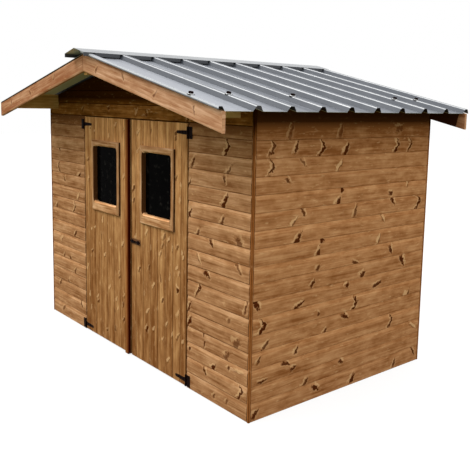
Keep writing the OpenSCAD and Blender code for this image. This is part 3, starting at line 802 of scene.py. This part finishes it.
# The same for the leaves, with the place from the shed's axis
LEFT_DOOR_KNOTS = knot_rows("""
    -.22 1.75 .04 .012 35 -.7, -.57 .9 .045 .013 55 -.8, -.33 .825 .045 .013 55 -.8,
    -.405 .71 .04 .013 40 -.8, -.12 .85 .045 .014 50 -.8, -.18 .61 .045 .013 55 -.8,
    -.33 .46 .04 .013 45 -.7, -.22 .39 .04 .012 55 -.7, -.705 .55 .05 .013 60 -.7,
    -.61 .7 .03 .012 50 .7, -.51 .3 .035 .012 50 .7, -.1 .25 .035 .012 60 .8""")
RIGHT_DOOR_KNOTS = knot_rows("""
    .11 1.71 .045 .013 40 -.8, .105 1.575 .045 .013 50 -.8, .05 1.29 .05 .014 60 .8,
    .05 1.2 .04 .012 60 .7, .22 .99 .05 .014 55 -.8, .405 .875 .05 .014 55 -.8,
    .515 .99 .045 .013 45 -.8, .61 .8 .05 .014 55 -.8, .695 .9 .045 .013 55 -.8,
    .32 .625 .045 .014 45 -.8, .63 .65 .026 .02 10 1, .235 .275 .045 .014 60 .9, .325 .3 .04 .013 50 -.7,
    .51 .125 .045 .014 50 -.8, .695 .31 .045 .013 55 -.7, .445 .54 .04 .013 55 .8, .13 .7 .04 .012 60 .8,
    .6 1.72 .035 .012 50 .7""")


def build_walls():
    heights = joints(0.0, FRONT[1].z, FIRST_JOINT, BOARD_W)
    runs = ((FRONT[0].x + LEAF_GAP, CORNER_X - WALL_IN, "front_wall_right", FRONT_RIGHT_KNOTS),
            (WALL_IN - CORNER_X, LEFT_FRONT[1].x - LEAF_GAP, "front_wall_left", FRONT_LEFT_KNOTS))
    for x0, x1, name, knots in runs:
        clad(name, "front", Vector((x0, FRONT[0].y, 0)), X, x1 - x0, heights, knots, FRONT_LOOK)
    heights = joints(0.0, SIDE[1].z, FIRST_JOINT, BOARD_W)
    y0, y1 = CORNER_Y[0] + WALL_IN, CORNER_Y[1] - WALL_IN
    clad("right_wall", "side", Vector((CORNER_X, y0, 0)), Y, y1 - y0, heights, SIDE_KNOTS, SIDE_LOOK)
    knots = some_knots(y1 - y0, LEFT_SIDE[1].z, count=62)
    clad("left_wall", "side", Vector((-CORNER_X, y1, 0)), -Y, y1 - y0, heights, knots, SIDE_LOOK)
    x0, length = CORNER_X - WALL_IN, 2 * (CORNER_X - WALL_IN)
    knots = some_knots(length, SIDE[1].z, count=100)
    heights = joints(0.0, RIDGE_Z, FIRST_JOINT, BOARD_W)
    clad("back_wall", "side", Vector((x0, BACK[1].y, 0)), -X, length, heights, knots, BACK_LOOK, True)


def build_strips():
    """A slim upright bar at each corner, between the ends of the boards."""
    profile = [(0.0, -STRIP_ARRIS, 0.0, STRIP_SHADE), (STRIP_ARRIS, 0.0, 0.0, 0.0),
               (STRIP_W - STRIP_ARRIS, 0.0, 0.0, STRIP_SHADE), (STRIP_W, -STRIP_ARRIS, 0.0, 0.0)]
    for end, y, across in (("front", CORNER_Y[0], -X), ("back", CORNER_Y[1], X)):
        name = end + "_corner_strips"
        pile, box = Pile(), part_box(name)
        for side in (-1, 1):
            inner, outer = side * (CORNER_X - STRIP_W), side * CORNER_X
            x = (max if across.x < 0 else min)(inner, outer)
            place = Place(Vector((x, y, 0)), Z, across)
            # The front walls' tone by height paints the eaves' shade on the bars' tops as well
            add_board(pile, place, box[0].z, box[1].z, profile, STRIP_W, 0.0, look=FRONT_LOOK)
        add_piece(pile.mesh(name), name + "_bars", "root", "strip", (name,))


def build_gable():
    heights = joints(GABLE[0].z, RIDGE_Z, GABLE[0].z + GABLE_BOARD_W, GABLE_BOARD_W)
    origin, length = Vector((GABLE[0].x, GABLE[0].y, 0)), GABLE[1].x - GABLE[0].x
    clad("front_gable", "gable", origin, X, length, heights, GABLE_KNOTS, GABLE_LOOK, True)


# Door leaves

LEFT_JOINTS = (-0.66, -0.56, -0.462, -0.36, -0.256, -0.153, -0.05)
RIGHT_JOINTS = (0.079, 0.178, 0.276, 0.375, 0.473, 0.57, 0.665)
DOOR_ARRIS, DOOR_BAND = 0.0035, 0.012
# How far the boards stop short of the casing's opening, and the least strip of a board beside it
LEAF_CUT, SPLIT_LEAST = 0.003, 0.002
FLECK_COUNT, FLECK_IN, FLECK_UP = 26, 0.03, 0.05
# Dark strips that stand in for the shade in the gaps round the leaves: depth, thickness, clearance and tone
GAP_SHADE_DEPTH, GAP_SHADE_T, GAP_SHADE_CLEAR, GAP_SHADE_TONE = 0.007, 0.008, 0.001, -6.0


def side_name(side):
    return "left" if side < 0 else "right"


def door_profile(width, meets):
    """Face of an upright board, with a dark V arris at the edges that meet another board, a painted
    highlight along its left edge and painted shade beside its right one.
    """
    groove = RNG.uniform(*DOOR_LOOK.groove)
    low, high = [(0.0, 0.0, 0.0, 0.0)], [(width, 0.0, 0.0, 0.0)]
    if meets[0]:
        low = [(0.0, -DOOR_ARRIS, 0.0, groove), (DOOR_ARRIS, 0.0, -0.3, 0.0)]
    if meets[1]:
        high = [(width - DOOR_ARRIS, 0.0, 0.5, groove), (width, -DOOR_ARRIS, 0.0, 0.0)]
    middle = [(width - DOOR_BAND - DOOR_ARRIS, 0.0, -0.2, 0.0)] if width > 3 * DOOR_BAND else []
    return low + middle + high


def upright(pile, x0, x1, z0, z1, knots, tone, meets):
    """An upright board between x0 and x1; across runs towards the left."""
    place = Place(Vector((x1, LEAF[0].y, 0)), Z, -X)
    own = []
    for x, z, length, width, lean, *more in knots:
        if x0 <= x < x1 and z0 <= z < z1:
            own.append(Knot(z, x1 - x, length, width, lean - 90, *more))
    add_board(pile, place, z0, z1, door_profile(x1 - x0, meets), BOARD_T, tone, own, look=DOOR_LOOK)


def flecks(box):
    """Small knots strewn over a leaf, most of them pale."""
    made = []
    for _ in range(FLECK_COUNT):
        x = RNG.uniform(box[0].x + FLECK_IN, box[1].x - FLECK_IN)
        z = RNG.uniform(FLECK_UP, box[1].z - FLECK_UP)
        power = RNG.choice((-0.8, -0.7, -0.6, 0.6))
        long, wide = RNG.uniform(0.03, 0.06), RNG.uniform(0.010, 0.014)
        made.append((x, z, long, wide, RNG.uniform(40, 100), power))
    return made


def build_leaf(side, box, cuts, knots):
    """Upright boards round the window's opening."""
    pile, name = Pile(), side_name(side)
    half = (WINDOW[1].x - WINDOW[0].x) / 2 - WINDOW_STILE + LEAF_CUT
    middle = side * (WINDOW[0].x + WINDOW[1].x) / 2
    hole_x = (middle - half, middle + half)
    hole_z = (WINDOW[0].z + WINDOW_SILL - LEAF_CUT, WINDOW[1].z - WINDOW_HEAD + LEAF_CUT)
    gaps = (LEAF_GAP, 0.0) if side < 0 else (MEET_GAP, LEAF_GAP)
    edges = [box[0].x + gaps[0], *cuts, box[1].x - gaps[1]]
    for x0, x1 in zip(edges, edges[1:]):
        tone = DOOR_LOOK.own_tone()
        splits = [x0] + [x for x in hole_x if x0 + SPLIT_LEAST < x < x1 - SPLIT_LEAST] + [x1]
        for left, right in zip(splits, splits[1:]):
            spans = [(box[0].z, box[1].z)]
            if left >= hole_x[0] - SPLIT_LEAST and right <= hole_x[1] + SPLIT_LEAST:
                spans = [(box[0].z, hole_z[0]), (hole_z[1], box[1].z)]
            for z0, z1 in spans:
                upright(pile, left, right, z0, z1, knots, tone, (right == x1, left == x0))
    add_piece(pile.mesh(name + "_leaf"), name + "_leaf_boards", name + "_door", "door",
              (name + "_door_boards",))


def build_gap_shades():
    """Dark strips set back in the gaps, as painted shade: beside the leaves, on walls and leaves, and where
    these meet.
    """
    rows = []
    for side, wall, leaf in ((-1, LEFT_FRONT[1].x, LEFT_LEAF[0].x), (1, FRONT[0].x, LEAF[1].x)):
        name = side_name(side)
        rows.append((name + "_jamb_seal", "root", leaf + side * GAP_SHADE_CLEAR, wall + side * LEAF_GAP))
        rows.append((name + "_leaf_seal", name + "_door", leaf - side * LEAF_GAP, leaf))
    rows.append(("meeting_seal", "right_door", LEFT_LEAF[1].x + GAP_SHADE_CLEAR, LEAF[0].x + MEET_GAP))
    for name, body, *ends in rows:
        pile, x0, x1 = Pile(), min(ends), max(ends)
        place = Place(Vector((x1, LEAF[0].y + GAP_SHADE_DEPTH, 0)), Z, -X)
        profile = [(0.0, 0.0, 0.0, 0.0), (x1 - x0, 0.0, 0.0, 0.0)]
        add_board(pile, place, LEAF[0].z, LEAF[1].z, profile, GAP_SHADE_T, GAP_SHADE_TONE)
        add_piece(pile.mesh(name), name, body, "strip")


# Window casings

FRAME_ARRIS, FRAME_EASE, PANE_CLEAR, WELD = 0.005, 0.010, 0.001, 0.00005
ARC_STEPS = 8
# The members in order: sill, right upright, head, left upright
MEMBER_TONES = (0.9, -0.5, 0.3, -0.2)
# Strips of the casing's section, from the leaf round the face to the pane
OUTER_SIDE, EASED, REVEAL = 0, 3, 4
# Painted light on the casing: a painted shadow on the outer sides of the sill and right upright, a painted
# highlight on the eased inner arris, and painted shade on the left upright's eased arris and reveal
SHADOW_SHADE, EASED_HIGHLIGHT, LEFT_SHADES = -5.0, 3.0, {EASED: -4.6, REVEAL: -4.1}


def frame_loop(side, opening, grow):
    """Points round the rounded opening, an arc for each corner, moved outwards by grow."""
    x0, x1 = sorted(side * x for x in opening[0])
    z0, z1 = opening[1]
    points = []
    for cx, cz, start in ((x1, z0, -90), (x1, z1, 0), (x0, z1, 90), (x0, z0, 180)):
        mx = cx - WINDOW_R if cx == x1 else cx + WINDOW_R
        mz = cz + WINDOW_R if cz == z0 else cz - WINDOW_R
        for k in range(ARC_STEPS + 1):
            t = math.radians(start + 90 * k / ARC_STEPS)
            points.append((mx + (WINDOW_R + grow) * math.cos(t), mz + (WINDOW_R + grow) * math.sin(t)))
    return points


def casing_shade(member, strip):
    if member == 3:
        return LEFT_SHADES.get(strip, 0.0)
    if strip == EASED:
        return EASED_HIGHLIGHT
    return SHADOW_SHADE if strip == OUTER_SIDE and member in (0, 1) else 0.0


def build_window(side):
    """A frame of two uprights, head and sill, mitred at the corners, with its arrises eased."""
    name = side_name(side)
    x0, x1 = sorted((side * WINDOW[0].x, side * WINDOW[1].x))
    z0, z1 = WINDOW[0].z, WINDOW[1].z
    hole = ((WINDOW[0].x + WINDOW_STILE, WINDOW[1].x - WINDOW_STILE), (z0 + WINDOW_SILL, z1 - WINDOW_HEAD))
    inner, eased = frame_loop(side, hole, 0.0), frame_loop(side, hole, FRAME_EASE)
    front, leaf, back = WINDOW[0].y, LEAF[0].y, PANE[0].y - PANE_CLEAR
    corners = ((x1, z0), (x1, z1), (x0, z1), (x0, z0))
    per, count = ARC_STEPS + 1, len(inner)
    mid = per // 2

    def rim(i, inset):
        """The point on the frame's outer edge that faces the opening's point i."""
        corner, k = corners[i // per], i % per
        x, z = inner[i]
        if k == mid:
            x, z = corner
        elif (k < mid) == (i // per in (1, 3)):
            x = corner[0]
        else:
            z = corner[1]
        sx, sz = (1 if corner[0] == x1 else -1), (1 if corner[1] == z1 else -1)
        return (x - inset * sx if x == corner[0] else x, z - inset * sz if z == corner[1] else z)

    pile = Pile()
    shifts = [grain_shift() for _ in MEMBER_TONES]
    outer, arris = [rim(i, 0.0) for i in range(count)], [rim(i, FRAME_ARRIS) for i in range(count)]
    rows = [[(point, y) for point in loop] for loop, y in (
        (outer, leaf), (outer, front + FRAME_ARRIS), (arris, front), (eased, front),
        (inner, front + FRAME_EASE), (inner, back))]
    for i in range(count):
        j = (i + 1) % count
        member = (i // per + (1 if i % per >= mid else 0)) % 4
        level = member in (0, 2)
        for r in range(len(rows) - 1):
            spots = [rows[r][i], rows[r][j], rows[r + 1][j], rows[r + 1][i]]
            uv = []
            for (x, z), y in spots:
                a, c = (x, z) if level else (z, x)
                uv.append((a + shifts[member][0], c + y + shifts[member][1]))
            ring = [pile.point(Vector((x, y, z)), MEMBER_TONES[member]) for (x, z), y in spots]
            pile.face(ring, uv, shade=casing_shade(member, r))
    mesh = pile.mesh(name + "_window")
    weld(mesh)
    add_piece(mesh, name + "_window_casing", name + "_door", "casing",
              (name + "_window_frame",))


def weld(mesh):
    work = bmesh.new()
    work.from_mesh(mesh)
    bmesh.ops.remove_doubles(work, verts=work.verts, dist=WELD)
    bmesh.ops.recalc_face_normals(work, faces=work.faces)
    work.to_mesh(mesh)
    work.free()


# Bargeboards

SEAM, BARGE_TIP = 0.002, 0.075
# Width and drop of the eased lower and upper edges
LOW_EDGE, HIGH_EDGE = (0.006, 0.004), (0.009, 0.002)
# Tone of the left and right boards, and a painted shadow along their upper edge, under the sheets' edge
BARGE_TONE = {-1: (-1.2, -4.5), 1: (-0.1, 0.0)}
# Knots: share of the length, place across, lean; then length, width and power of all
BARGE_KNOTS = {
    -1: ((0.16, 0.06, 60), (0.42, 0.05, -60), (0.71, 0.07, 60)),
    1: ((0.12, 0.05, 60), (0.34, 0.07, -55), (0.58, 0.05, 60), (0.83, 0.06, -60)),
}
BARGE_KNOT_L, BARGE_KNOT_W, BARGE_KNOT_POWER = 0.04, 0.011, 0.55
# Painted shade on the hidden faces of the rear boards: lighter beyond the eaves, darkest above the wall
TIP_SHADE, HIDDEN_SHADE = -1.5, -6.0


def barge_profile(depth, top):
    """A bargeboard's face from its lower to its upper edge, both eased; the lower edge has a painted
    highlight, and top paints shade on the upper one.
    """
    return [(0.0, -LOW_EDGE[1], 1.5, 2.0), (LOW_EDGE[0], 0.0, -0.4, 0.0), (depth * 0.5, 0.0, 0.0, 0.0),
            (depth - HIGH_EDGE[0], 0.0, 0.3, top), (depth, -HIGH_EDGE[1], 0.0, 0.0)]


def build_barges():
    thick = BARGE[1].y - BARGE[0].y
    run = BARGE[1].x / COS
    depth = (BARGE[1].z - BARGE[0].z - BARGE[1].x * SLOPE) * COS
    for end, face, outward in (("front", BARGE[0].y, -1), ("rear", REAR_BARGE[1].y, 1)):
        for side in (-1, 1):
            pile = Pile()
            down = Vector((side * COS, 0, -SIN))
            across = Vector((side * SIN, 0, COS))
            low = Vector((0, face, RIDGE_Z - depth / COS))
            if side * outward < 0:
                along, skew, a0, a1 = down, -SLOPE, SEAM, run
                back = (run - BARGE_TIP, TIP_SHADE, HIDDEN_SHADE)
            else:
                along, skew, a0, a1 = -down, SLOPE, -run, -SEAM
                back = (BARGE_TIP - run, HIDDEN_SHADE, TIP_SHADE)
            knots = [Knot(a0 + share * run, c, BARGE_KNOT_L, BARGE_KNOT_W, lean, BARGE_KNOT_POWER)
                     for share, c, lean in BARGE_KNOTS[side]]
            tone, top = BARGE_TONE[side]
            add_board(pile, Place(low, along, across), a0, a1, barge_profile(depth, top), thick, tone, knots,
                      skew, back=back if end == "rear" else None)
            name = f"{end}_{side_name(side)}_bargeboard"
            add_piece(pile.mesh(name), name + "_plank", "root", "barge", (name,))


# Small fixings, each with its sides and its rings of radius and height

SCREW_RIBS, SCREW_OUT = (0, 1, 3, 7, 8), 0.03
RUBBER = 16, (0.0225, -0.002), (0.0225, 0.001), (0.0195, 0.002)
WASHER = 16, (0.0195, 0.002), (0.019, 0.003), (0.015, 0.0045)
HEAD = 6, (0.0145, 0.0045), (0.0145, 0.0145), (0.011, 0.0165)
SCREW = 10, (0.0075, 0.0), (0.0072, 0.0016), (0.0045, 0.0034)
# Hinge screws: height over the boards, place on the plates, places on the straps from the pin
SCREW_SEAT, PLATE_OUT, PLATE_UPS, STRAP_STEPS = 0.0021, 0.004, (-0.026, 0.026), (0.035, 0.066, 0.097)


def turned(shape, fixing, origin, axis):
    """Adds a turned shape about an axis to a pair of vertices and faces."""
    sides, *rings = fixing
    side = axis.orthogonal().normalized()
    other = axis.cross(side)
    verts, faces = shape
    start = len(verts)
    for radius, height in rings:
        for k in range(sides):
            t = 2 * math.pi * k / sides
            verts.append(origin + axis * height + (side * math.cos(t) + other * math.sin(t)) * radius)
    for r in range(len(rings) - 1):
        for k in range(sides):
            m = (k + 1) % sides
            a, b = start + r * sides, start + (r + 1) * sides
            faces.append((a + k, a + m, b + m, b + k))
    faces.append(tuple(start + (len(rings) - 1) * sides + k for k in range(sides)))
    faces.append(tuple(start + k for k in range(sides - 1, -1, -1)))


def fixing_piece(shape, name, body, slot="black_iron", material="iron"):
    mesh = bpy.data.meshes.new(name)
    mesh.from_pydata(shape[0], [], shape[1])
    mesh.update()
    add_piece(mesh, name, body, material)


def build_roof_screws():
    seats, row_x = [], PURLIN[1].x + SCREW_OUT
    for side in (-1, 1):
        normal = Vector((side * SIN, 0, COS))
        for rib in SCREW_RIBS:
            at_edge = side > 0 and rib == 0
            y = EDGE_RIB_Y if at_edge else RIB_FIRST + RIB_STEP * (rib + (0.5 if side < 0 else 0.0))
            base = Vector((side * row_x, y, RIDGE_Z - row_x * SLOPE))
            seats.append((base + normal * (EDGE_RIB_H if at_edge else RIB_H), normal))
    kinds = ("rubbers", RUBBER), ("washers", WASHER, "roof_metal", "steel"), ("heads", HEAD)
    for kind, fixing, *metal in kinds:
        shape = ([], [])
        for base, normal in seats:
            turned(shape, fixing, base, normal)
        fixing_piece(shape, "roof_screw_" + kind, "root", *metal)


def hinge_screws():
    for side in (-1, 1):
        name = side_name(side)
        fixed, moving = ([], []), ([], [])
        plate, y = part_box(name + "_hinge_plates"), FRONT[0].y - SCREW_SEAT
        for z in HINGE_ZS:
            for up in PLATE_UPS:
                x = side * (abs(plate[0].x) + abs(plate[1].x)) / 2
                turned(fixed, SCREW, Vector((x + side * PLATE_OUT, y, z + up)), -Y)
            for step in STRAP_STEPS:
                turned(moving, SCREW, Vector((side * (HINGE_X - step), y, z)), -Y)
        fixing_piece(fixed, name + "_plate_screws", "root")
        fixing_piece(moving, name + "_strap_screws", name + "_door")


# Everything together

def dress_nodes():
    """Materials for the CAD nodes that keep their own shape."""
    table = {
        "meeting": "meeting_strip", "bolt": "door_bolt", "cap": "ridge_cap", "lit_purlin": "right_purlin",
        "post": "front_posts back_posts left_posts right_posts",
        "rail_x": "front_rails back_rails door_header left_door_ledges right_door_ledges",
        "rail_y": "left_rails right_rails", "purlin": "ridge_purlin left_purlin",
        "glass": "left_window_pane right_window_pane",
        "iron": "left_hinge_straps right_hinge_straps left_hinge_plates right_hinge_plates",
        "roof": "left_front_sheet left_rear_sheet right_front_sheet right_rear_sheet",
    }
    for key, names in table.items():
        for name in names.split():
            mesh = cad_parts[name].data
            mesh.materials.clear()
            mesh.materials.append(MATS[key])


def make_materials():
    timber = "#C8A878 #B59060 #966E40"
    return {
        "front": wood("front_boards", "#C99E76 #A97C55 #825532", streak=0.8, blot=1.3),
        "side": wood("side_boards", "#C29266 #AA774D #86532C", streak=0.75, blot=1.7),
        "gable": wood("gable_boards", "#B07C44 #8E5C2A #683E12", blot=1.8),
        "door": wood("door_boards", "#CA9E6A #A5774A #784B26", streak=0.85),
        "casing": wood("casing_wood", "#D2AC86 #AE825A #845834", streak=1.1),
        "barge": wood("barge_wood", "#DAB090 #BA8C6A #966242", blot=0.9),
        "strip": wood("strip_wood", "#B07A48 #925A2E #6C3C16"),
        "meeting": wood("meeting_wood", "#BC8652 #966236 #6C3E1A", "z", dark_side=True),
        "post": wood("post_wood", timber, "z"),
        "rail_x": wood("rail_wood", timber, "x"),
        "rail_y": wood("side_rail_wood", timber, "y"),
        "purlin": wood("purlin_wood", "#E2BC80 #C89C5E #A27A42", "y"),
        # The right purlin's paler copy of the purlin wood is painted light, for the lit stub under the right
        # eave
        "lit_purlin": wood("lit_purlin_wood", "#F0CC94 #DCB47A #B08A54", "y"),
        "glass": dark_glass("dark_glass"),
        "iron": iron("black_iron", "#0A0302 #1A0A06", rough=0.62, specular=0.03, grain=420.0),
        "bolt": iron("bolt_iron", "#080304 #140808", rough=0.55, specular=0.04, grain=260.0,
                     plate_tint="#4A2C1A #7A5638"),
        "steel": steel("screw_steel"),
        "roof": roof_metal("roof_zinc"),
        "cap": cap_metal("cap_zinc"),
    }


def build():
    make_camera()
    make_world()
    make_key()
    make_floor()
    MATS.update(make_materials())
    dress_nodes()
    build_walls()
    build_strips()
    build_gable()
    build_leaf(-1, LEFT_LEAF, LEFT_JOINTS, LEFT_DOOR_KNOTS + flecks(LEFT_LEAF))
    build_leaf(1, LEAF, RIGHT_JOINTS, RIGHT_DOOR_KNOTS + flecks(LEAF))
    build_window(-1)
    build_window(1)
    build_barges()
    build_roof_screws()
    hinge_screws()
    build_gap_shades()
    bpy.context.scene.view_settings.view_transform = "Standard"


build()
